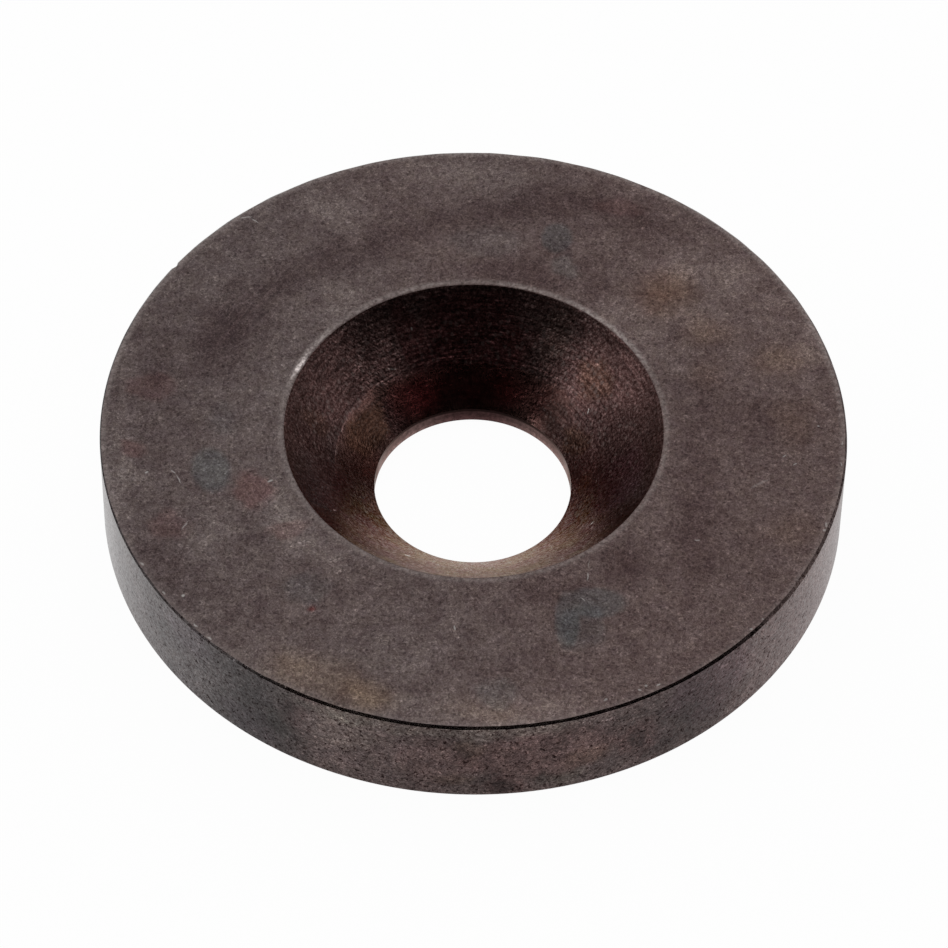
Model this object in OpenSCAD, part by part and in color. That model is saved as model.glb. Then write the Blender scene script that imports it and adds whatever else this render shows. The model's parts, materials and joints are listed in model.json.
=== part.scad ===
// Countersunk washer: a disc turned from steel bar, with a conical seat that lets a
// flat-head screw sit flush with its top face. The flat bearing face underneath rests
// on the work and spreads the screw's load over it.
// The origin is the centre of the bearing face, and +Z runs up the bore, out of the seat.

/* [Disc] */
// Outer diameter
disc_d = 24; // [16:0.5:40]
// Thickness, from the bearing face to the top face
disc_t = 3.5; // [3.2:0.1:8]

/* [Screw hole] */
// Diameter of the bore, a close clearance hole for the screw's shank
bore_d = 6.4; // [6.1:0.1:8]
// Diameter of the conical seat where it meets the top face
seat_d = 12.25; // [8:0.05:12.7]
// Included angle of the conical seat, the same as the screw head's
seat_angle = 90; // [82:1:120]

/* [Edges] */
// Leg of the 45-degree chamfer round the top face's outer edge
outer_chamfer = 0.1; // [0.05:0.05:0.5]
// Leg of the 45-degree chamfer that takes the burr off the bearing face's outer edge
foot_chamfer = 0.03; // [0.01:0.01:0.4]
// Leg of the 45-degree chamfer that takes the burr off the bore's lower edge
bore_chamfer = 0.03; // [0.01:0.01:0.4]
// Depth of the break that takes the burr off the seat's rim
rim_break = 0.02; // [0.01:0.01:0.1]

/* [Hidden] */

$fn = 256;
oxide_colour = [0.32, 0.30, 0.29];
// How far each cutting tool runs past the face that it enters or leaves
overrun = 1;

disc_r = disc_d / 2;
bore_r = bore_d / 2;
seat_r = seat_d / 2;

// The cone narrows from the seat's rim to the bore, and the bore's land is left below it
seat_slope = tan(seat_angle / 2);
seat_depth = (seat_r - bore_r) / seat_slope;
land_top = disc_t - seat_depth;

// The rim's break lies half way between the slopes of the top face and the cone
break_slope = tan((90 + seat_angle / 2) / 2);
break_inner_r = seat_r - rim_break * seat_slope;

// Bar stock turned to its diameter, parted off to its thickness and chamfered at both edges
module turned_disc() {
    rotate_extrude()
        polygon([
            [0, 0],
            [disc_r - foot_chamfer, 0],
            [disc_r, foot_chamfer],
            [disc_r, disc_t - outer_chamfer],
            [disc_r - outer_chamfer, disc_t],
            [0, disc_t],
        ]);
}

// Space of a drill that goes right through
module bore_cut() {
    translate([0, 0, -overrun])
        cylinder(r = bore_r, h = disc_t + 2 * overrun);
}

// Space of a conical cutter that opens upwards from radius r at height z
module cone_cut(z, r, slope) {
    height = disc_t - z + overrun;
    translate([0, 0, z])
        cylinder(r1 = r, r2 = r + height * slope, h = height);
}

// Space of the tool that chamfers the bore's lower edge
module bore_chamfer_cut() {
    translate([0, 0, -overrun])
        cylinder(r1 = bore_r + bore_chamfer + overrun, r2 = bore_r, h = bore_chamfer + overrun);
}

// The whole washer is one solid piece of steel
module washer() {
    color(oxide_colour)
        difference() {
            turned_disc();
            bore_cut();
            cone_cut(land_top, bore_r, seat_slope);
            cone_cut(disc_t - rim_break, break_inner_r, break_slope);
            bore_chamfer_cut();
        }
}

washer();
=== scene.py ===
import json
import math

import bmesh
import bpy
import numpy as np
from mathutils import Matrix, Vector, noise


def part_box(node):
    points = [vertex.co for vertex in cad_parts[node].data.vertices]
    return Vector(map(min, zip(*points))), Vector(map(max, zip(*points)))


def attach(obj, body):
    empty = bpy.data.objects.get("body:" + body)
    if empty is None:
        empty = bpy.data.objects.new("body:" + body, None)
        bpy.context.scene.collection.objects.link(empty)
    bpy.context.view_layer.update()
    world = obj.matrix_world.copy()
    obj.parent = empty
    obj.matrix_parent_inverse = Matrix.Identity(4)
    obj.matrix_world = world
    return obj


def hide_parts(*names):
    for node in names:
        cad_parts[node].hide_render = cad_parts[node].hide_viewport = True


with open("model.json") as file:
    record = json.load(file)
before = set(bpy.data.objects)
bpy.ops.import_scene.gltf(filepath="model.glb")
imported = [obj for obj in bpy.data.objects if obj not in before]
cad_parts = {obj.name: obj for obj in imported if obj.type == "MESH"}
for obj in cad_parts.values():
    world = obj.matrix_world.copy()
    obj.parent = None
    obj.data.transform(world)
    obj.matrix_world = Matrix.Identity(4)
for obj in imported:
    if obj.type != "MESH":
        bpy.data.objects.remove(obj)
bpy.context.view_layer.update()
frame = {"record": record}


# Viewpoint
# The washer lies on its bearing face and is seen from above and in front, at about half a right angle,
# through a long lens about seven washer diameters away. The lens is turned a little on its axis.
MM = 0.001
washer_low, washer_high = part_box("washer")

lens_mm = 208.85
film_width_mm = 36.0
view_elevation = math.radians(50.503)
view_distance = 176.64 * MM
view_roll = math.radians(0.957)
top_centre = Vector((0, 0, washer_high.z))
aim_point = top_centre + Vector((0.036, -1.918, 0)) * MM

camera_data = bpy.data.cameras.new("product_camera")
camera_data.lens = lens_mm
camera_data.sensor_width = film_width_mm
camera_data.clip_start = 0.01
camera = bpy.data.objects.new("product_camera", camera_data)
bpy.context.scene.collection.objects.link(camera)
towards_camera = Vector((0, -math.cos(view_elevation), math.sin(view_elevation)))
camera.location = top_centre + view_distance * towards_camera
line_of_sight = (aim_point - camera.location).to_track_quat("-Z", "Y")
camera.rotation_euler = (line_of_sight.to_matrix() @ Matrix.Rotation(view_roll, 3, "Z")).to_euler()
bpy.context.scene.camera = camera


# Washer body
# One disc of steel bar, turned and chamfered, drilled through and countersunk for a flat screw head.
# Its top chamfer was filed by hand, one nick was knocked into it and the countersink's rim is rubbed.
disc_radius = min(-washer_low.x, washer_high.x, -washer_low.y, washer_high.y) / MM
disc_thickness = washer_high.z / MM
bore_mount = next(mount for mount in frame["record"]["mounts"] if mount["name"] == "bore")
bore_radius = bore_mount["dims"]["r_mm"]
seat_radius = 12.25 / 2
outer_chamfer = 0.1
foot_chamfer = 0.03
bore_chamfer = 0.03
rim_break = 0.02
land_top = disc_thickness - (seat_radius - bore_radius)
rim_top_radius = seat_radius + rim_break / math.tan(math.radians(22.5)) - rim_break

turning_steps = 720
ring_spacing = 0.2
arris_ring = 0.3


def rings_between(start, end):
    """Evenly spaced points of the section between two of its corners, which are left out."""
    count = round(math.dist(start, end) / ring_spacing)
    return [tuple(a + (b - a) * i / count for a, b in zip(start, end)) for i in range(1, count)]


wall_foot = (disc_radius, foot_chamfer)
wall_head = (disc_radius, disc_thickness - outer_chamfer - arris_ring)
top_outside = (disc_radius - outer_chamfer - arris_ring, disc_thickness)
top_inside = (seat_radius + arris_ring, disc_thickness)
seat_head = (seat_radius - rim_break, disc_thickness - rim_break)
seat_foot = (bore_radius, land_top)
section = [
    (bore_radius + bore_chamfer, 0),
    (disc_radius - foot_chamfer, 0),
    wall_foot,
    *rings_between(wall_foot, wall_head),
    wall_head,
    (disc_radius, disc_thickness - outer_chamfer),
    (disc_radius - outer_chamfer, disc_thickness),
    top_outside,
    *rings_between(top_outside, top_inside),
    top_inside,
    (rim_top_radius, disc_thickness),
    seat_head,
    *rings_between(seat_head, seat_foot),
    seat_foot,
    (bore_radius, bore_chamfer),
]

body = bmesh.new()
corners = [body.verts.new((r, 0, z)) for r, z in section]
outline = [body.edges.new((a, b)) for a, b in zip(corners, corners[1:] + corners[:1])]
bmesh.ops.spin(body, geom=corners + outline, cent=(0, 0, 0), axis=(0, 0, 1), angle=2 * math.pi,
               steps=turning_steps, use_merge=True)
bmesh.ops.remove_doubles(body, verts=body.verts, dist=1e-5)
bmesh.ops.recalc_face_normals(body, faces=body.faces)

# Each face is sorted into the surface that it belongs to, and the arrises between them stay sharp
TOP, EDGE, SEAT, BORE, UNDERSIDE = range(5)
close = 1e-3
sharp_angle = math.radians(8)
for face in body.faces:
    face.smooth = True
    middle = face.calc_center_median()
    radius = math.hypot(middle.x, middle.y)
    if middle.z > disc_thickness - rim_break and radius < disc_radius - outer_chamfer:
        face.material_index = TOP
    elif radius > disc_radius - outer_chamfer:
        face.material_index = EDGE if middle.z > close else UNDERSIDE
    elif middle.z < close:
        face.material_index = UNDERSIDE
    elif middle.z < land_top:
        face.material_index = BORE
    else:
        face.material_index = SEAT
for line in body.edges:
    line.smooth = line.calc_face_angle(0) < sharp_angle

# The file bore unevenly, so the chamfer narrows at both sides, and it wanders. Its width is listed
# by degrees round from the front to the right, as a share of the full chamfer.
filed_places = [-180, -150, -120, -90, -60, -30, 0, 30, 60, 90, 120, 150, 180]
filed_shares = [0.80, 0.80, 0.65, 0.45, 0.50, 0.75, 0.82, 0.80, 1.05, 0.62, 0.70, 0.75, 0.80]
chamfer_wander = 0.26
chamfer_waves = 14
nick_angle = math.radians(145.7)
nick_half_angle = math.radians(0.7)
nick_depth = 0.05
rub_angle = math.radians(155)
rub_half_angle = math.radians(6)
rub_depth = 0.05
rub_side_depth = 0.025
arris = body.verts.layers.float.new("arris")
for vert in body.verts:
    radius = math.hypot(vert.co.x, vert.co.y)
    angle = math.atan2(vert.co.y, vert.co.x)
    outward = Vector((vert.co.x, vert.co.y, 0)).normalized()
    down = Vector((0, 0, -1))
    round_edge = outward * chamfer_waves
    round_front = math.degrees(math.atan2(vert.co.x, -vert.co.y))
    filed = float(np.interp(round_front, filed_places, filed_shares))
    nick = nick_depth * max(0, 1 - abs(angle - nick_angle) / nick_half_angle)
    rub = rub_depth * max(0, 1 - ((angle - rub_angle) / rub_half_angle) ** 2)
    rub = max(rub, rub_side_depth * max(0, math.cos(angle - rub_angle)))
    height_left = disc_thickness - vert.co.z
    if abs(radius - disc_radius) < close and abs(height_left - outer_chamfer) < close:
        leg = outer_chamfer * filed * (1 + chamfer_wander * noise.noise(round_edge))
        vert.co += down * (leg - outer_chamfer + nick) - outward * nick
    elif abs(radius - disc_radius + outer_chamfer) < close and height_left < close:
        leg = outer_chamfer * filed * (1 + chamfer_wander * noise.noise(round_edge + Vector((0, 0, 5))))
        vert.co += outward * (outer_chamfer - leg - nick)
        vert[arris] = 1
    elif abs(radius - rim_top_radius) < close and height_left < close:
        vert.co += outward * rub
        vert[arris] = 1
    elif abs(radius - seat_head[0]) < close and height_left < 2 * rim_break:
        vert.co += (down - outward) * rub * 0.5

bmesh.ops.scale(body, vec=(MM, MM, MM), verts=body.verts)
washer_mesh = bpy.data.meshes.new("washer_body")
body.to_mesh(washer_mesh)
body.free()
washer = bpy.data.objects.new("washer_body", washer_mesh)
bpy.context.scene.collection.objects.link(washer)

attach(washer, "root")
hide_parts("washer")


# Top face
# The faced end of the bar, blackened by hot oxide. Its film is uneven: drops dried on it as blue-grey
# and rusty stains, handling rubbed it, and dust and a few fibres of a cloth lie on it. A pale band
# along its arrises is partly wear and partly a painted highlight.
vertex_zone = np.full(len(washer_mesh.vertices), UNDERSIDE)
for zone in (SEAT, EDGE, TOP):
    for face in washer_mesh.polygons:
        if face.material_index == zone:
            vertex_zone[list(face.vertices)] = zone

# Each place is pushed about a little, so that the marks laid there have uneven outlines
vertex_place = np.empty((len(washer_mesh.vertices), 2))
for vert in washer_mesh.vertices:
    spot = vert.co / MM
    if vertex_zone[vert.index] == EDGE:
        spot = Vector((math.atan2(spot.x, -spot.y) * disc_radius, spot.z, 0))
    drift = noise.noise_vector(spot * 1.1) * 0.3 + noise.noise_vector(spot * 3.5) * 0.1
    vertex_place[vert.index] = (spot + drift).xy

film = washer_mesh.attributes.new("film", "FLOAT_VECTOR", "POINT")
film.data.foreach_set("vector", np.ones(3 * len(washer_mesh.vertices)))


def lay_film(zone, tint, crispness, marks):
    """Tints the oxide film on one surface, with soft bounds, inside each mark in a list.

    A mark is x, y, half length, half width, turn in degrees and strength, in mm. On the outer edge,
    x runs round it from the front and y is the height.
    """
    data = washer_mesh.attributes["film"].data
    values = np.empty(3 * len(data))
    data.foreach_get("vector", values)
    values = values.reshape(-1, 3)
    here = vertex_zone == zone
    for x, y, half_length, half_width, turn, strength in marks:
        cosine = math.cos(math.radians(turn))
        sine = math.sin(math.radians(turn))
        dx, dy = (vertex_place[here] - (x, y)).T
        lengthwise = (dx * cosine + dy * sine) / half_length
        crosswise = (dy * cosine - dx * sine) / half_width
        away = lengthwise ** 2 + crosswise ** 2
        inside = np.minimum(1, crispness * np.clip(1 - away, 0, 1) ** 2)
        values[here] *= 1 + strength * inside[:, None] * (np.array(tint) - 1)
    data.foreach_set("vector", values.ravel())


SOFT = 1.0
DRIED = 3.0
twice_as_pale = (2.0, 2.0, 2.0)
paler = (1.97, 2.13, 2.08)
blue_grey = (0.87, 1.04, 1.08)
rust = (1.06, 0.87, 0.87)
tan = (1.08, 1.00, 0.87)
lay_film(TOP, paler, SOFT, [
    (-8.3, 3.3, 2.3, 1.7, 75, -0.34),
    (-7.6, 4.6, 2.3, 1.4, 55, -0.30),
    (-6.2, 6.2, 2.0, 1.2, 45, -0.24),
    (-4.6, 7.2, 2.0, 1.2, 30, -0.28),
    (-2.9, 8.0, 1.9, 1.2, 30, -0.28),
    (-1.2, 8.9, 1.9, 1.2, 25, -0.26),
    (0.6, 9.3, 1.9, 1.2, 10, -0.32),
    (2.5, 9.7, 1.9, 1.3, 0, -0.36),
    (4.3, 9.5, 1.9, 1.2, -15, -0.32),
    (5.7, 8.9, 1.6, 1.2, -30, -0.28),
    (0.9, 6.7, 1.6, 1.0, 0, -0.31),
    (2.2, 6.5, 1.2, 0.9, -15, -0.34),
    (3.9, 5.9, 1.2, 1.0, -35, -0.24),
    (2.6, 8.2, 1.1, 1.3, 0, -0.22),
    (-10.2, 2.6, 1.6, 3.5, -10, -0.19),
    (-9.8, -0.4, 1.6, 2.2, 0, -0.12),
    (-9.8, -5.6, 1.1, 2.9, 25, -0.25),
    (7.4, 1.4, 1.2, 2.2, 0, -0.21),
    (9.0, 0.5, 2.0, 1.3, 0, -0.23),
    (10.5, 0.1, 1.2, 1.3, 0, -0.13),
    (7.2, -1.0, 1.1, 2.2, 0, -0.20),
    (7.3, -3.0, 1.2, 1.9, 0, -0.26),
    (7.0, -4.8, 1.2, 2.0, 15, -0.32),
    (8.7, -4.6, 1.4, 1.7, 0, -0.15),
    (4.9, -5.4, 1.3, 1.2, 30, -0.37),
    (2.5, -6.6, 1.7, 1.2, 0, -0.24),
    (3.4, -7.8, 1.3, 1.7, 0, -0.12),
    (-6.5, -2.9, 1.0, 2.1, 15, 0.34),
    (-5.6, -4.4, 1.8, 1.1, -42, 0.37),
    (-4.4, -5.2, 1.3, 1.0, -35, 0.34),
    (-4.5, 5.2, 2.0, 1.0, 40, 0.34),
    (-6.4, 1.6, 0.8, 2.2, -10, 0.20),
    (4.7, 4.8, 1.8, 0.9, -45, 0.32),
    (5.9, 3.4, 0.8, 1.9, 30, 0.16),
    (-11.3, -2.4, 0.9, 2.5, 12, 0.34),
    (-8.2, -4.4, 1.5, 1.5, 0, 0.26),
    (-8.4, -1.8, 1.1, 1.6, 0, 0.06),
    (1.6, -11.4, 3.2, 1.1, 3, 0.56),
    (-1.6, -11.2, 2.1, 1.0, -5, 0.26),
    (-5.6, -9.7, 2.3, 1.5, -25, 0.36),
    (-3.4, -10.7, 1.3, 0.9, -15, 0.22),
    (-2.4, -9.2, 1.7, 1.4, 0, 0.20),
    (6.7, 6.9, 1.5, 1.2, 0, 0.35),
    (8.4, 6.4, 1.6, 1.4, -45, 0.36),
    (9.8, 5.0, 1.4, 1.5, 0, 0.22),
    (7.6, 4.7, 1.3, 1.1, 0, 0.32),
    (10.9, 3.7, 0.9, 2.2, -15, 0.32),
    (9.9, 3.0, 1.0, 0.9, 0, 0.20),
    (-4.9, 9.2, 1.7, 1.4, 20, 0.30),
    (-1.2, 10.9, 2.2, 1.0, 0, 0.32),
    (1.0, 10.9, 1.7, 0.9, 0, 0.20),
])
lay_film(TOP, blue_grey, DRIED, [
    (3.5, -7.9, 1.0, 1.1, 0, 0.6),
    (3.0, 7.0, 0.5, 0.7, 0, 0.6),
    (-8.1, 0.2, 0.7, 1.0, 0, 0.3),
    (0.3, 8.0, 1.5, 0.8, 0, 0.3),
    (0.9, -10.6, 0.9, 0.6, 0, 0.45),
    (-5.2, -6.7, 0.95, 0.75, 0, 0.45),
])
lay_film(TOP, rust, DRIED, [
    (6.1, 6.3, 0.8, 1.2, 20, 0.15),
    (5.7, 5.5, 0.7, 0.6, 0, 0.2),
    (4.7, 9.6, 1.0, 0.5, -10, 0.5),
    (-7.0, -2.8, 0.8, 1.0, 0, 1.1),
    (-5.8, -4.3, 0.8, 0.5, 0, 0.6),
    (-10.4, 1.5, 1.0, 0.7, 0, 0.7),
    (-10.9, -1.0, 0.6, 0.4, -30, 0.9),
    (-9.6, -4.2, 0.8, 0.7, 0, 0.7),
])
lay_film(TOP, tan, SOFT, [
    (-5.6, -9.5, 1.3, 1.0, -30, 0.6),
    (-3.2, -10.8, 1.4, 0.8, -15, 0.9),
    (-4.2, -10.3, 3.0, 1.3, -20, 0.9),
    (0.6, -11.3, 2.0, 0.7, 0, 0.5),
    (6.2, 5.8, 1.6, 1.4, 0, 1.25),
    (7.5, 4.2, 1.3, 1.0, 0, 0.8),
    (9.9, 3.1, 1.5, 1.1, 0, 0.8),
    (7.5, 2.5, 0.9, 0.9, 0, 0.5),
    (10.3, 0.5, 1.0, 1.7, 0, 0.6),
    (10.1, -4.0, 1.4, 1.0, 0, 0.5),
])


class Finish:
    """A finish on the steel, put together from shader nodes. Places and sizes in it are in mm."""

    def __init__(self, name):
        self.material = bpy.data.materials.new(name)
        self.material.use_nodes = True
        self.tree = self.material.node_tree
        self.shader = self.tree.nodes["Principled BSDF"]
        self.shader.inputs["Metallic"].default_value = 1.0
        coordinates = self.tree.nodes.new("ShaderNodeTexCoord")
        self.place = self.scaled(coordinates.outputs["Object"], (1 / MM, 1 / MM, 1 / MM))
        self.parts = self.node("ShaderNodeSeparateXYZ", {0: self.place}).outputs
        self.radius = self.length(self.scaled(self.place, (1, 1, 0)))

    def node(self, kind, inputs, **settings):
        made = self.tree.nodes.new(kind)
        for name, value in settings.items():
            setattr(made, name, value)
        for key, value in inputs.items():
            if isinstance(value, bpy.types.NodeSocket):
                self.tree.links.new(value, made.inputs[key])
            else:
                made.inputs[key].default_value = value
        return made

    def scaled(self, vector, by):
        return self.node("ShaderNodeVectorMath", {0: vector, 1: by}, operation="MULTIPLY").outputs[0]

    def length(self, vector):
        return self.node("ShaderNodeVectorMath", {0: vector}, operation="LENGTH").outputs["Value"]

    def joined(self, x, y, z=0.0):
        return self.node("ShaderNodeCombineXYZ", {0: x, 1: y, 2: z}).outputs[0]

    def maths(self, operation, a, b=0.0):
        return self.node("ShaderNodeMath", {0: a, 1: b}, operation=operation).outputs[0]

    def times(self, a, b):
        return self.maths("MULTIPLY", a, b)

    def weighed(self, value, gain, level):
        """The value times a gain, on top of a level."""
        inputs = {0: value, 1: gain, 2: level}
        return self.node("ShaderNodeMath", inputs, operation="MULTIPLY_ADD").outputs[0]

    def fade(self, value, start, end):
        """0 where the value is at start or beyond, 1 at end or beyond, and a soft step between."""
        ends = {"Value": value, "From Min": start, "From Max": end}
        return self.node("ShaderNodeMapRange", ends, interpolation_type="SMOOTHSTEP").outputs["Result"]

    def cloud(self, place, size, octaves=1.0, rough=0.5, swirl=0.0):
        """Uneven patches about as wide as the size, from about -1 to 1. A swirl makes them stringy."""
        shape = {"Vector": place, "Scale": 1 / size, "Detail": octaves - 1, "Roughness": rough,
                 "Distortion": swirl}
        patches = self.node("ShaderNodeTexNoise", shape).outputs["Fac"]
        return self.weighed(patches, 4.0, -2.0)

    def wander(self, place, size, reach):
        """The same place, pushed about so that what is drawn there has a ragged outline."""
        shape = {"Vector": place, "Scale": 1 / size, "Detail": 2.0}
        push = self.node("ShaderNodeTexNoise", shape).outputs["Color"]
        both_ways = {0: push, 1: (0.5, 0.5, 0.5)}
        centred = self.node("ShaderNodeVectorMath", both_ways, operation="SUBTRACT").outputs[0]
        pushed = self.scaled(centred, (4 * reach, 4 * reach, 4 * reach))
        return self.node("ShaderNodeVectorMath", {0: place, 1: pushed}, operation="ADD").outputs[0]

    def rings(self, slow, fast):
        """A place that changes slowly round the washer and fast across it, for the marks of turning."""
        x = self.times(self.parts[0], slow)
        y = self.times(self.parts[1], slow)
        return self.joined(x, y, self.times(self.radius, fast))

    def spots(self, place, marks, height, soft):
        """The strength of each mark inside it and 0 outside. A mark is listed as it is for lay_film."""
        any_height = 1000
        total = None
        for x, y, half_length, half_width, turn, strength in marks:
            around = {"Vector": place, "Location": (x, y, height), "Rotation": (0, 0, math.radians(turn)),
                      "Scale": (half_length, half_width, any_height)}
            local = self.node("ShaderNodeMapping", around, vector_type="TEXTURE").outputs[0]
            mark = self.times(self.fade(self.length(local), 1, 1 - soft), strength)
            total = mark if total is None else self.maths("MAXIMUM", total, mark)
        return total

    def mixed(self, amount, a, b, blend="MIX"):
        inputs = {0: amount, 6: a, 7: b}
        return self.node("ShaderNodeMix", inputs, data_type="RGBA", blend_type=blend).outputs[2]

    def stained(self, colour, amount, tint):
        """The colour, filtered through a tint where the amount is 1."""
        return self.mixed(amount, colour, (*tint, 1), "MULTIPLY")

    def brightened(self, colour, amount, gain):
        """The colour, made 1 + gain times as bright where the amount is 1, and as much darker at -1."""
        factor = self.maths("POWER", 1 + gain, amount)
        inputs = {0: colour, "Scale": factor}
        return self.node("ShaderNodeVectorMath", inputs, operation="SCALE").outputs[0]

    def filmed(self, colour):
        """The colour under the tints that were laid on the mesh."""
        laid = self.node("ShaderNodeAttribute", {}, attribute_name="film").outputs["Vector"]
        return self.scaled(colour, laid)

    def near_arris(self, start, end):
        """A fade towards the arrises of the surface, where 1 is the arris and 0 is one ring away."""
        near = self.node("ShaderNodeAttribute", {}, attribute_name="arris").outputs["Fac"]
        return self.fade(near, start, end)

    def specks(self, place, size, spacing, share):
        """Small round specks. The share is the part of the cells, one spacing wide, that hold one."""
        cells = self.node("ShaderNodeTexVoronoi", {"Vector": place, "Scale": 1 / spacing},
                          voronoi_dimensions="2D")
        near = self.fade(cells.outputs["Distance"], size / spacing, 0.5 * size / spacing)
        pick = self.node("ShaderNodeSeparateXYZ", {0: cells.outputs["Color"]}).outputs[0]
        return self.times(near, self.maths("LESS_THAN", pick, share))

    def embossed(self, height, depth):
        """Sets the bump of the surface, where the height is from -1 to 1 and the depth is in mm."""
        bump = self.node("ShaderNodeBump", {"Height": height, "Distance": depth * MM})
        self.tree.links.new(bump.outputs["Normal"], self.shader.inputs["Normal"])

    def glanced(self, colour):
        """Sets the colour of what the surface mirrors at a glancing angle."""
        self.tree.links.new(colour, self.shader.inputs["Specular Tint"])

    def coloured(self, colour, roughness):
        self.tree.links.new(colour, self.shader.inputs["Base Color"])
        self.tree.links.new(roughness, self.shader.inputs["Roughness"])


warm_black = (0.0990, 0.0738, 0.0716, 1)
cool_black = (0.0927, 0.0752, 0.0745, 1)
fibre_grey = (0.30, 0.28, 0.27, 1)
# Paler grey for the wear and the painted highlight along the arrises of the top face
worn_and_highlight_grey = (0.34, 0.295, 0.28, 1)
bare_steel = (0.85, 0.76, 0.74, 1)
rust_red = (0.9, 0.45, 0.45)
grain_size = 0.12
grain_depth = 0.0015
grain_roughness = 0.04
faced_roughness = 0.4
dried_drops = [
    (3.02, -7.74, 0.47, 1.34, 0, 1.0),
    (3.86, -7.02, 1.20, 0.72, 0, 1.0),
    (2.65, 8.18, 0.62, 0.78, 0, 1.0),
    (-8.36, -1.93, 0.75, 1.08, 10, 0.9),
]
red_spots = [(-4.97, -7.45, 0.22, 0.17, 30, 1.0)]
fibres = [
    (-7.65, 8.86, 0.25, 0.03, 10, 0.9),
    (-7.35, 8.72, 0.22, 0.03, -40, 0.8),
    (-9.56, -2.02, 0.15, 0.028, -45, 0.8),
    (-9.37, -2.34, 0.26, 0.028, -68, 0.8),
    (-10.39, -2.06, 0.09, 0.05, 30, 1.0),
    (-6.46, -2.34, 0.12, 0.05, 30, 0.9),
    (-9.08, -4.2, 0.26, 0.028, 60, 0.6),
    (3.70, -5.5, 0.25, 0.018, 85, 0.4),
    (3.67, -5.98, 0.2, 0.025, 88, 0.8),
    (3.53, -6.9, 0.15, 0.025, -42, 0.7),
    (7.12, -4.45, 0.1, 0.04, -10, 0.6),
    (9.15, -2.12, 0.5, 0.05, 32, 0.2),
    (9.95, -0.97, 0.1, 0.03, 50, 0.7),
    (10.29, -1.29, 0.1, 0.03, 30, 0.7),
    (11.07, 0.3, 0.06, 0.04, 0, 0.7),
    (11.83, -0.39, 0.03, 0.1, 0, 0.7),
    (11.78, -1.26, 0.03, 0.12, 0, 0.7),
    (11.23, -3.76, 0.05, 0.12, 10, 0.6),
    (5.28, -10.4, 0.06, 0.05, 0, 0.8),
    (5.46, -10.25, 0.05, 0.06, 0, 0.7),
    (5.86, -10.2, 0.12, 0.04, 30, 0.9),
    (4.22, -10.8, 0.1, 0.04, 20, 0.6),
    (-0.5, -8.1, 0.04, 0.13, 5, 0.8),
    (-10.36, -5.78, 0.10, 0.04, -55, 0.8),
    (-9.63, -6.92, 0.10, 0.04, -50, 0.7),
    (-9.02, -7.00, 0.07, 0.06, 0, 1.0),
    (-8.58, -8.18, 0.12, 0.04, -45, 0.9),
    (-8.12, -8.67, 0.12, 0.04, -42, 0.9),
    (11.15, -3.97, 0.06, 0.05, 0, 0.7),
    (9.14, -7.56, 0.06, 0.05, 0, 0.7),
    (8.76, -7.96, 0.07, 0.05, 0, 0.7),
]
# Places on the countersink rim where its wear and painted highlight are strongest
rim_wear_and_highlight = [
    (-5.4, 3.0, 2.4, 1.2, 60, 1.0),
    (-2.6, 5.6, 3.6, 1.6, 25, 0.55),
    (1.8, 6.0, 2.6, 1.6, -15, 0.6),
    (4.5, 4.4, 3.6, 2.0, -45, 0.9),
]
rubbed_bright = [(-5.66, 2.5, 0.7, 0.11, 65, 1.0)]
turned_patch = [(-7.7, 4.6, 2.6, 1.2, 52, 1.0)]

top = Finish("blackened_top_face")
side = top.weighed(top.cloud(top.place, 5.0), 3.0, top.parts[0])
colour = top.mixed(top.fade(side, -10.0, 10.0), cool_black, warm_black)
yellowed = top.fade(top.cloud(top.place, 0.7, 4, 1.0), -1.0, 1.0)
colour = top.stained(colour, yellowed, (1.01, 1.01, 0.94))
uneven = top.cloud(top.place, 0.9, 5, 1.0, 0.5)
colour = top.stained(colour, top.fade(uneven, 0.4, -0.8), (1.02, 0.94, 0.97))
colour = top.brightened(colour, uneven, 0.65)
grit = top.cloud(top.place, 0.11, 3, 1.0, 1.2)
colour = top.stained(colour, top.fade(grit, 1.0, -1.0), (1.03, 0.95, 0.95))
colour = top.brightened(colour, grit, 1.35)
colour = top.filmed(colour)
turned = top.cloud(top.rings(0.8, 9.0), 1.0, 2)
turned = top.times(turned, top.spots(top.place, turned_patch, disc_thickness, 0.8))
colour = top.brightened(colour, turned, 0.45)
little_ragged = top.wander(top.place, 0.15, 0.03)
colour = top.stained(colour, top.spots(little_ragged, dried_drops, disc_thickness, 0.35), blue_grey)
colour = top.stained(colour, top.spots(little_ragged, red_spots, disc_thickness, 0.9), rust_red)
colour = top.brightened(colour, top.specks(top.place, 0.055, 0.17, 0.4), -0.3)
colour = top.brightened(colour, top.specks(top.place, 0.055, 0.26, 0.12), 0.4)
lint = top.spots(little_ragged, fibres, disc_thickness, 0.6)
colour = top.mixed(lint, colour, fibre_grey)
patchy = top.weighed(top.fade(top.cloud(top.place, 0.14, 3, 0.7), -0.7, 0.9), 0.85, 0.15)
# A paler grey band along both arrises of the top face, partly wear and partly a painted highlight for the
# light that the rounded arrises catch. It runs all round the countersink rim, stronger at the listed
# places, and along the outer arris more towards the back; patches break it up.
worn_and_highlight = top.maths("MAXIMUM", top.spots(top.place, rim_wear_and_highlight, disc_thickness, 0.8), 0.34)
worn_and_highlight = top.times(worn_and_highlight, top.near_arris(0.15, 0.85))
outer_arris_wear_and_highlight = top.weighed(top.fade(top.parts[1], -6.0, 4.0), 0.30, 0.20)
outer_arris_wear_and_highlight = top.times(outer_arris_wear_and_highlight, top.near_arris(0.25, 0.95))
near_rim = top.fade(top.radius, 9.5, 8.5)
worn_and_highlight = top.node("ShaderNodeMix", {0: near_rim, 2: outer_arris_wear_and_highlight, 3: worn_and_highlight}).outputs[0]
worn_and_highlight = top.times(patchy, worn_and_highlight)
colour = top.mixed(worn_and_highlight, colour, worn_and_highlight_grey)
rubbed = top.spots(little_ragged, rubbed_bright, disc_thickness, 0.7)
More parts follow.
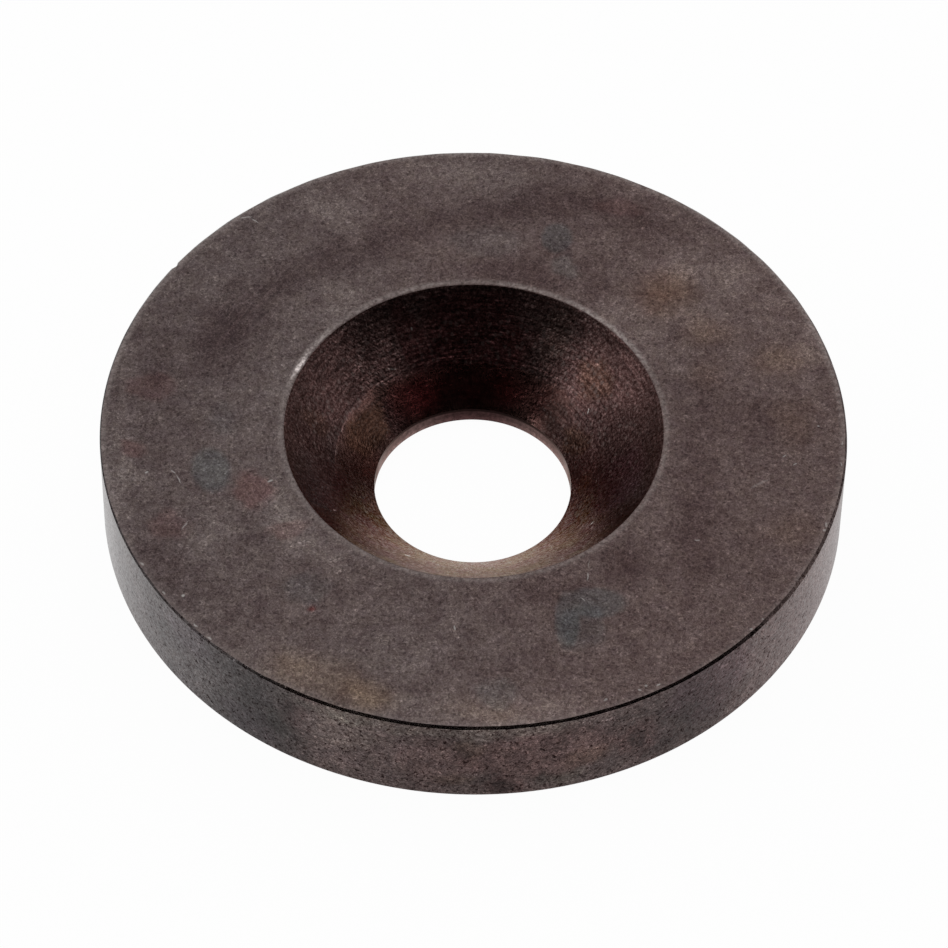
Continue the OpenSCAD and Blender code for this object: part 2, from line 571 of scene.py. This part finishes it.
colour = top.mixed(top.times(rubbed, patchy), colour, bare_steel)
grain = top.cloud(top.place, grain_size, 2)
top.embossed(grain, grain_depth)
top.coloured(colour, top.weighed(grain, grain_roughness, faced_roughness))
washer_mesh.materials.append(top.material)


# Outer edge
# The skin of the turned bar, blackened like the top face but finely pitted, with the two chamfers.
# Its film changes along it from grey to brown and to purple, and is plain again at the back.
edge_black = (0.0795, 0.0602, 0.0592, 1)
edge_grey = (0.0677, 0.0612, 0.0628, 1)
left_sheen = (1.0, 0.965, 0.965, 1)
right_sheen = (0.97, 0.885, 0.88, 1)
green_grey = (0.96, 1.05, 1.00)
olive = (1.05, 1.00, 0.82)
red_brown = (1.02, 0.86, 0.85)
purple = (1.04, 0.95, 1.06)
lay_film(EDGE, twice_as_pale, SOFT, [
    (-7.1, 1.7, 2.7, 6.0, 0, -0.50),
    (7.4, 1.7, 2.6, 6.0, 0, -0.55),
    (-3.9, 2.3, 1.8, 2.2, 0, 0.42),
    (-5.9, 2.4, 0.6, 1.4, 0, -0.35),
    (-6.3, 1.2, 0.5, 1.0, 0, -0.35),
    (1.1, 0.4, 0.9, 0.8, 0, -0.40),
    (-0.3, 0.7, 1.6, 0.6, 0, -0.30),
    (2.5, 0.7, 0.6, 0.5, 0, -0.35),
    (-1.0, 2.7, 0.7, 0.7, 0, -0.12),
    (0.0, 2.2, 0.6, 0.6, 0, -0.25),
    (6.2, 0.7, 0.9, 0.5, 0, -0.22),
    (3.4, 1.4, 1.2, 0.8, 0, 0.08),
    (-14.4, 2.4, 0.25, 1.4, 0, -0.45),
    (-12.1, 2.6, 0.35, 0.9, 0, -0.25),
])
lay_film(EDGE, twice_as_pale, DRIED, [
    (-0.6, 3.45, 8.0, 0.55, 0, 0.22),
    (5.4, 1.5, 0.45, 0.6, 0, -0.55),
    (1.1, 0.4, 0.5, 0.45, 0, -0.50),
    (2.4, 0.7, 0.3, 0.3, 0, -0.25),
    (6.4, 0.6, 0.6, 0.25, 0, -0.25),
    (-0.1, 2.3, 0.35, 0.4, 0, -0.25),
])
lay_film(EDGE, green_grey, DRIED, [
    (-1.2, 3.25, 6.5, 0.5, 0, 1.0),
    (-4.0, 2.4, 1.4, 1.2, 0, 0.6),
    (2.9, 0.65, 1.1, 0.4, 0, 1.0),
    (7.1, 1.7, 0.7, 0.7, 0, 1.0),
    (-6.2, 1.5, 0.5, 1.0, 0, 0.8),
])
lay_film(EDGE, olive, DRIED, [
    (3.7, 1.4, 1.0, 0.6, 0, 0.45),
    (0.1, 2.5, 0.5, 0.5, 0, 0.5),
    (-0.5, 0.8, 0.8, 0.3, 0, 0.5),
])
lay_film(EDGE, red_brown, DRIED, [
    (2.4, 1.9, 3.4, 1.5, 0, 0.8),
    (-1.0, 1.6, 1.5, 1.5, 0, 0.4),
    (1.1, 0.45, 0.8, 0.6, 0, 0.8),
    (5.5, 1.4, 1.0, 1.0, 0, 0.8),
    (-5.8, 2.4, 0.6, 1.0, 0, 0.5),
])
lay_film(EDGE, purple, DRIED, [
    (8.2, 2.4, 2.2, 2.0, 0, 1.0),
    (-9.8, 2.8, 1.4, 0.9, 0, 0.6),
    (-7.4, 0.8, 1.4, 0.9, 0, 0.6),
])

edge = Finish("blackened_edge")
forward = edge.times(edge.parts[1], -1.0)
along = edge.times(edge.maths("ARCTAN2", edge.parts[0], forward), disc_radius)
unrolled = edge.joined(along, edge.parts[2])
left_side = edge.fade(along, -34.0, -24.0)
right_side = edge.fade(along, 34.0, 24.0)
greyed = edge.times(edge.fade(along, -4.5, -7.5), left_side)
colour = edge.mixed(greyed, edge_black, edge_grey)
yellowed = edge.fade(edge.cloud(edge.place, 0.9, 4, 1.0), -1.0, 1.0)
colour = edge.stained(colour, yellowed, (1.01, 1.01, 0.95))
colour = edge.brightened(colour, edge.cloud(edge.place, 1.6, 6, 1.0, 0.5), 1.5)
grit = edge.cloud(edge.place, 0.09, 2, 1.0, 1.0)
colour = edge.stained(colour, edge.fade(grit, 1.0, -1.0), (1.04, 0.91, 0.91))
colour = edge.brightened(colour, grit, 1.5)
colour = edge.filmed(colour)
front = edge.fade(edge.maths("ABSOLUTE", along), 24.0, 15.0)
ragged_wall = edge.wander(unrolled, 0.25, 0.06)
pits = edge.times(edge.fade(edge.cloud(edge.place, 0.13, 3, 0.8, 0.6), -0.15, -0.8), front)
colour = edge.brightened(edge.stained(colour, pits, (1.2, 0.9, 0.9)), pits, -0.85)
colour = edge.brightened(colour, edge.specks(ragged_wall, 0.06, 0.45, 0.2), 0.9)
# The filed chamfer is darkened in colour: painted shade that keeps it dark at the sides, where it mirrors
# the bright tent. Towards the front, where it mirrors the dark card, its colour is made four times as
# bright again, painted light for the brown that it shows there.
filed_foot = disc_thickness - outer_chamfer - 0.02
filed_head = disc_thickness - 0.3 * outer_chamfer
filed_edge = edge.fade(edge.parts[2], filed_foot, filed_head)
colour = edge.brightened(colour, filed_edge, -0.4)
faced = edge.fade(edge.maths("ABSOLUTE", along), 11.0, 6.0)
colour = edge.brightened(colour, edge.times(filed_edge, faced), 3.0)
grain = edge.cloud(edge.place, grain_size, 2)
edge.embossed(grain, grain_depth)
browned = edge.times(edge.fade(along, 3.0, 10.0), right_side)
glancing = edge.mixed(browned, left_sheen, right_sheen)
glancing = edge.brightened(glancing, pits, -0.36)
glancing = edge.brightened(glancing, edge.cloud(edge.place, 0.09, 3, 1.0), 0.32)
edge.glanced(glancing)
duller = edge.times(edge.fade(along, 8.0, 13.0), right_side)
filed_rough = edge.weighed(filed_edge, 0.05, edge.weighed(duller, 0.05, 0.2))
edge.coloured(colour, edge.weighed(grain, 0.03, filed_rough))
washer_mesh.materials.append(edge.material)


# Countersink
# The conical seat, cut by a turning tool in two passes, so fine rings run round it and a line shows
# where they meet. Oxide salts dried in its lower part and left it smoother, darker and redder there.
seat_black = (0.0668, 0.0462, 0.0438, 1)
seat_red = (0.0935, 0.0620, 0.0550, 1)
middle_sheen = (0.915, 0.752, 0.637, 1)
side_sheen = (0.725, 0.628, 0.570, 1)
dust_brown = (0.22, 0.18, 0.17, 1)
fleck_brown = (0.22, 0.17, 0.16, 1)
dust_white = (0.90, 0.86, 0.82, 1)
seat_grain_depth = 0.004
pass_line_radius = 4.45
deep_radius = 4.27
crimson = (1.00, 0.45, 0.50)
ashy = (1.15, 1.60, 1.70)
lay_film(SEAT, twice_as_pale, SOFT, [
    (0.0, 5.2, 2.2, 2.0, 0, -0.28),
    (0.0, 3.6, 2.2, 1.0, 0, 0.90),
    (-1.2, 4.5, 1.0, 1.0, 15, 0.45),
    (1.2, 4.5, 1.0, 1.0, -15, 0.30),
    (-3.0, 3.6, 1.6, 1.1, 40, 0.60),
    (-2.4, 4.1, 1.3, 0.9, 30, 0.90),
    (-2.55, 3.65, 0.8, 0.5, 35, 0.45),
    (-1.95, 4.8, 0.7, 0.6, 22, 0.45),
    (-1.8, 3.4, 0.8, 0.8, 28, 2.40),
    (-2.25, 2.99, 0.70, 0.75, 37, 1.75),
    (-1.80, 2.88, 0.7, 0.4, 32, 1.50),
    (-1.35, 3.30, 0.6, 0.6, 22, 0.60),
    (-1.45, 3.85, 0.8, 0.35, 21, 0.80),
    (-3.05, 2.75, 0.5, 0.4, 48, -0.35),
    (-2.95, 2.05, 0.6, 0.35, 55, -0.30),
    (-3.5, 2.03, 1.1, 0.42, 60, -0.55),
    (-2.8, 2.27, 0.4, 0.6, 51, -0.35),
    (-3.35, 0.55, 0.7, 0.45, 80, 0.70),
    (0.2, 3.5, 0.6, 0.45, 0, -0.40),
    (1.45, 3.45, 0.7, 0.7, -22, 0.90),
    (1.2, 4.0, 0.6, 0.35, -17, 0.50),
    (1.55, 3.0, 0.5, 0.3, -27, 0.60),
    (2.31, 3.01, 0.5, 0.7, -37, -0.40),
    (-2.95, 1.75, 0.8, 0.5, 58, -0.30),
    (-2.9, 1.6, 0.9, 0.6, 60, -0.45),
    (-3.6, 0.6, 1.0, 0.6, 80, 0.35),
    (2.5, 2.5, 0.8, 0.6, -45, -0.65),
    (-5.5, 1.5, 1.8, 0.6, 72, -0.10),
    (3.6, 3.1, 1.4, 1.0, -50, 0.50),
    (2.9, 5.0, 1.2, 0.7, -30, -0.40),
    (5.0, 2.7, 1.8, 1.0, -62, 0.55),
    (2.9, 1.9, 1.2, 0.6, -57, -0.38),
    (3.3, 0.6, 1.0, 0.6, -80, -0.40),
    (5.5, 0.0, 1.6, 1.0, -90, -0.34),
    (4.6, 0.2, 1.0, 2.2, 0, -0.20),
    (-4.8, -0.5, 0.9, 2.0, 0, -0.10),
    (3.4, -1.8, 1.7, 1.1, -118, -0.50),
    (-3.4, -1.8, 1.7, 1.1, 118, -0.60),
])
lay_film(SEAT, olive, DRIED, [
    (-3.5, 1.6, 1.3, 0.55, 65, 1.0),
    (3.9, 3.0, 0.9, 0.6, -52, 0.8),
    (3.3, 1.5, 0.7, 0.35, -65, 1.0),
    (3.5, -0.1, 0.6, 0.3, -92, 1.0),
    (-5.1, 0.9, 0.5, 0.5, 80, 0.5),
])
lay_film(SEAT, crimson, DRIED, [
    (0.0, 4.7, 2.2, 1.9, 0, 0.6),
    (-2.2, 4.7, 0.5, 1.2, 25, 0.4),
    (-2.9, -2.6, 1.1, 0.5, -48, 0.3),
    (3.1, -2.4, 1.1, 0.5, 48, 0.3),
])
lay_film(SEAT, crimson, SOFT, [
    (0.0, 3.6, 2.4, 0.7, 0, 0.45),
    (-1.7, 3.3, 1.3, 0.9, 28, 0.95),
    (-1.5, 3.2, 0.8, 0.7, 25, 0.5),
    (-2.4, 2.9, 0.9, 0.7, 38, 0.45),
    (1.2, 3.6, 0.9, 0.7, -18, 0.7),
    (2.1, 3.1, 0.9, 0.7, -34, 0.4),
])
lay_film(SEAT, purple, DRIED, [
    (4.6, -1.2, 1.8, 1.1, -105, 1.2),
    (-3.9, -1.4, 1.1, 0.8, 110, 0.8),
    (-2.6, 2.3, 0.7, 0.5, 48, 0.6),
])
lay_film(SEAT, ashy, SOFT, [
    (-4.8, -2.3, 2.4, 1.4, 115, 1.0),
    (-3.7, -0.6, 1.4, 0.8, 95, 0.5),
    (4.8, -2.5, 2.2, 1.4, -115, 0.7),
    (-5.0, -3.0, 1.2, 0.7, 120, 0.6),
    (-4.6, 0.1, 1.2, 0.6, 90, 0.35),
])
lay_film(SEAT, green_grey, DRIED, [
    (2.7, 4.7, 0.8, 0.9, -30, 0.8),
])

dust = [
    (-2.02, -3.97, 0.16, 0.05, -15, 1.0),
    (-4.41, -2.76, 0.08, 0.04, 60, 0.6),
    (-2.05, 4.83, 0.06, 0.06, 0, 0.6),
    (-2.7, 3.72, 0.2, 0.02, 40, 0.35),
    (3.69, 2.21, 0.025, 0.08, -30, 0.45),
    (3.98, -0.42, 0.1, 0.03, 60, 0.35),
    (3.89, -2.72, 0.09, 0.03, 50, 0.5),
]
seat = Finish("blackened_countersink")
ragged = seat.wander(seat.place, 0.5, 0.08)
ragged_radius = seat.length(seat.scaled(ragged, (1, 1, 0)))
step_up = seat.times(seat.fade(seat.parts[0], -2.6, -3.4), pass_line_radius - deep_radius)
below_line = seat.maths("SUBTRACT", ragged_radius, step_up)
towards_salt = {0: seat.place, 1: (-0.383, 0.924, 0)}
salted_side = seat.node("ShaderNodeVectorMath", towards_salt, operation="DOT_PRODUCT").outputs["Value"]
back = seat.fade(seat.maths("DIVIDE", salted_side, seat.radius), 0.1, 0.5)
deep = seat.times(seat.fade(below_line, deep_radius + 0.05, deep_radius - 0.07), back)
colour = seat.mixed(deep, seat_black, seat_red)
colour = seat.brightened(colour, seat.cloud(seat.place, 1.6, 6, 1.0), 0.85)
grit = seat.times(seat.cloud(seat.place, 0.1, 2, 1.0), seat.weighed(deep, -0.4, 1.0))
colour = seat.stained(colour, seat.fade(grit, 1.0, -1.0), (1.05, 0.83, 0.81))
colour = seat.brightened(colour, grit, 1.2)
colour = seat.brightened(colour, seat.fade(seat.radius, 5.0, 6.0), -0.3)
colour = seat.filmed(colour)
shaded = seat.cloud(seat.place, 0.13, 3, 1.0, 0.8)
shaded = seat.times(shaded, seat.fade(seat.parts[1], 2.5, 4.5))
shaded = seat.times(shaded, seat.weighed(deep, -0.7, 1.0))
colour = seat.stained(colour, seat.fade(shaded, 1.0, -1.0), (1.06, 0.80, 0.80))
colour = seat.brightened(colour, shaded, 1.5)
ring_strength = seat.weighed(seat.fade(seat.parts[1], 0.5, 3.0), 1.2, 0.2)
turned = seat.times(seat.cloud(seat.rings(1.2, 14.0), 1.0, 2), ring_strength)
colour = seat.brightened(colour, turned, 0.45)
round_seat = seat.times(seat.maths("ARCTAN2", seat.parts[0], seat.parts[1]), 4.0)
dusty = seat.times(seat.fade(seat.cloud(seat.place, 0.08, 2, 0.8), 0.1, 1.0), 0.16)
colour = seat.mixed(dusty, colour, dust_brown)
flecks = seat.specks(seat.joined(round_seat, seat.radius), 0.07, 0.16, 0.35)
shown = seat.times(seat.maths("SUBTRACT", 1.0, deep), seat.fade(seat.radius, 5.9, 5.0))
flecks = seat.times(seat.times(flecks, shown), 0.26)
colour = seat.mixed(flecks, colour, fleck_brown)
off_line = seat.maths("ABSOLUTE", seat.maths("SUBTRACT", seat.radius, pass_line_radius))
pass_line = seat.fade(off_line, 0.035, 0.01)
colour = seat.brightened(colour, seat.times(pass_line, back), 0.85)
grain = seat.cloud(seat.place, grain_size, 2, 0.8)
relief = seat.weighed(turned, 0.5, grain)
seat.embossed(seat.times(relief, seat.weighed(deep, -0.5, 1.0)), seat_grain_depth)
lint = seat.spots(ragged, dust, disc_thickness, 0.6)
colour = seat.mixed(lint, colour, dust_white)
aside = seat.fade(seat.maths("ABSOLUTE", seat.parts[0]), 0.8, 3.4)
glancing = seat.mixed(aside, middle_sheen, side_sheen)
glancing = seat.brightened(glancing, seat.fade(seat.radius, 3.4, 5.6), -0.09)
pinkish = seat.fade(seat.cloud(seat.place, 1.1, 3, 0.8), -0.8, 0.8)
glancing = seat.mixed(pinkish, seat.stained(glancing, 1.0, (0.99, 1.02, 0.95)),
                      seat.stained(glancing, 1.0, (1.01, 0.97, 1.04)))
sparkle = seat.cloud(seat.place, 0.14, 4, 1.0)
glancing = seat.stained(glancing, seat.fade(sparkle, 1.0, -1.0), (1.04, 0.88, 0.86))
glancing = seat.brightened(glancing, sparkle, 1.1)
glancing = seat.mixed(lint, glancing, (1, 1, 1, 1))
seat.glanced(glancing)
front = seat.fade(seat.parts[1], -1.5, -3.5)
down_seat = seat.joined(seat.times(round_seat, 1.7), seat.times(seat.radius, 0.2))
streaks = seat.cloud(down_seat, 0.12, 3, 0.8)
smooth = seat.weighed(deep, -0.06, seat.weighed(seat.fade(seat.radius, 5.4, 3.4), -0.08, 0.37))
smooth = seat.maths("ADD", smooth, seat.times(front, seat.weighed(streaks, 0.07, -0.04)))
seat.coloured(colour, seat.weighed(grain, grain_roughness, smooth))
washer_mesh.materials.append(seat.material)


# Bore and bearing face
# The drilled land below the cone carries painted shade: it is black at its top and darker at the back,
# for the shaded floor in the hole that it mirrors, and lighter towards its foot and its sides. The
# bearing face rests on the table, so it is hidden; it is finished plainly, faced like the top and
# blackened evenly.
bore_top_painted_shade = (0.0060, 0.0025, 0.0025, 1)
bore_back_painted_shade = (0.0330, 0.0160, 0.0160, 1)
bore_sides = (0.0950, 0.0600, 0.0560, 1)
bore_sheen = (0.85, 0.73, 0.70, 1)
bore_side_sheen = (0.30, 0.18, 0.14, 1)
drilled_roughness = 0.18
bore = Finish("blackened_bore")
# Painted shade and light on the land: its colour is darker at the back, twice as bright towards its foot
# and black at its top, standing in for the shaded floor in the hole that it mirrors.
drilled = bore.mixed(bore.fade(bore.maths("ABSOLUTE", bore.parts[0]), 0.5, 2.4), bore_back_painted_shade, bore_sides)
drilled = bore.brightened(drilled, bore.fade(bore.parts[2], 0.35, 0.08), 1.0)
colour = bore.mixed(bore.fade(bore.parts[2], 0.50, 0.42), bore_top_painted_shade, drilled)
colour = bore.brightened(colour, bore.cloud(bore.place, 0.15, 3, 1.0), 1.0)
grain = bore.cloud(bore.place, grain_size, 2)
aside = bore.fade(bore.maths("ABSOLUTE", bore.parts[0]), 3.03, 3.19)
glancing = bore.mixed(aside, bore_sheen, bore_side_sheen)
bore.glanced(glancing)
bore.coloured(colour, bore.weighed(grain, grain_roughness, drilled_roughness))
washer_mesh.materials.append(bore.material)

under = Finish("blackened_bearing_face")
colour = under.mixed(under.fade(under.cloud(under.place, 5.0), -1.0, 1.0), cool_black, warm_black)
colour = under.brightened(colour, under.cloud(under.place, 1.6, 7, 1.0), 0.6)
grain = under.cloud(under.place, grain_size, 2)
under.embossed(grain, grain_depth)
under.coloured(colour, under.weighed(grain, grain_roughness, faced_roughness))
washer_mesh.materials.append(under.material)


# Floor
# A plain white table top, wide enough to fill the view. It shows white to the lens and in the metal's
# reflections, and part of it is lit like any matt surface, so the washer's soft shadow stays.
floor_half = 2000 * MM
white_share = 0.97
mirrored_share = 0.85

table = bmesh.new()
bmesh.ops.create_grid(table, x_segments=1, y_segments=1, size=floor_half)
floor_mesh = bpy.data.meshes.new("floor")
table.to_mesh(floor_mesh)
table.free()
floor = bpy.data.objects.new("floor", floor_mesh)
bpy.context.scene.collection.objects.link(floor)

table_white = bpy.data.materials.new("table_white")
table_white.use_nodes = True
tree = table_white.node_tree
tree.nodes.clear()
path = tree.nodes.new("ShaderNodeLightPath")
in_metal = tree.nodes.new("ShaderNodeMath")
in_metal.operation = "MAXIMUM"
tree.links.new(path.outputs["Is Glossy Ray"], in_metal.inputs[0])
tree.links.new(path.outputs["Is Transmission Ray"], in_metal.inputs[1])
in_metal_share = tree.nodes.new("ShaderNodeMath")
in_metal_share.operation = "MULTIPLY"
tree.links.new(in_metal.outputs[0], in_metal_share.inputs[0])
in_metal_share.inputs[1].default_value = mirrored_share
share = tree.nodes.new("ShaderNodeMath")
share.operation = "MULTIPLY_ADD"
tree.links.new(path.outputs["Is Camera Ray"], share.inputs[0])
share.inputs[1].default_value = white_share
tree.links.new(in_metal_share.outputs[0], share.inputs[2])
matt = tree.nodes.new("ShaderNodeBsdfDiffuse")
matt.inputs["Color"].default_value = (0.95, 0.95, 0.95, 1)
glow = tree.nodes.new("ShaderNodeEmission")
blend = tree.nodes.new("ShaderNodeMixShader")
tree.links.new(share.outputs[0], blend.inputs["Fac"])
tree.links.new(matt.outputs[0], blend.inputs[1])
tree.links.new(glow.outputs[0], blend.inputs[2])
output = tree.nodes.new("ShaderNodeOutputMaterial")
tree.links.new(blend.outputs[0], output.inputs["Surface"])
floor_mesh.materials.append(table_white)


# Studio
# A white tent all round gives plain, even light. A dark card stands behind the camera, so that what
# faces the lens reflects it and turns black. The card itself stays out of every picture.
card_radius = 400 * MM
card_left = math.radians(-63)
card_right = math.radians(82)
card_foot = 30 * MM
card_head = 750 * MM
card_grey = 0.012

panel = bmesh.new()
post_x = card_radius * math.sin(card_left)
post_y = -card_radius * math.cos(card_left)
foot = panel.verts.new((post_x, post_y, card_foot))
head = panel.verts.new((post_x, post_y, card_head))
post = panel.edges.new((foot, head))
bmesh.ops.spin(panel, geom=[foot, head, post], cent=(0, 0, 0), axis=(0, 0, 1),
               angle=card_right - card_left, steps=48)
card_mesh = bpy.data.meshes.new("dark_card")
panel.to_mesh(card_mesh)
panel.free()
card = bpy.data.objects.new("dark_card", card_mesh)
bpy.context.scene.collection.objects.link(card)
card.visible_camera = False
card_paint = bpy.data.materials.new("dark_card")
card_paint.use_nodes = True
paint = card_paint.node_tree.nodes["Principled BSDF"].inputs
paint["Base Color"].default_value = (card_grey, card_grey, card_grey, 1)
paint["Roughness"].default_value = 1.0
paint["Specular IOR Level"].default_value = 0.0
card_mesh.materials.append(card_paint)

tent = bpy.data.worlds.new("white_tent")
tent.use_nodes = True
tent_light = tent.node_tree.nodes["Background"].inputs
tent_light["Color"].default_value = (1, 1, 1, 1)
tent_light["Strength"].default_value = 1.0
bpy.context.scene.world = tent
bpy.context.scene.view_settings.view_transform = "Standard"
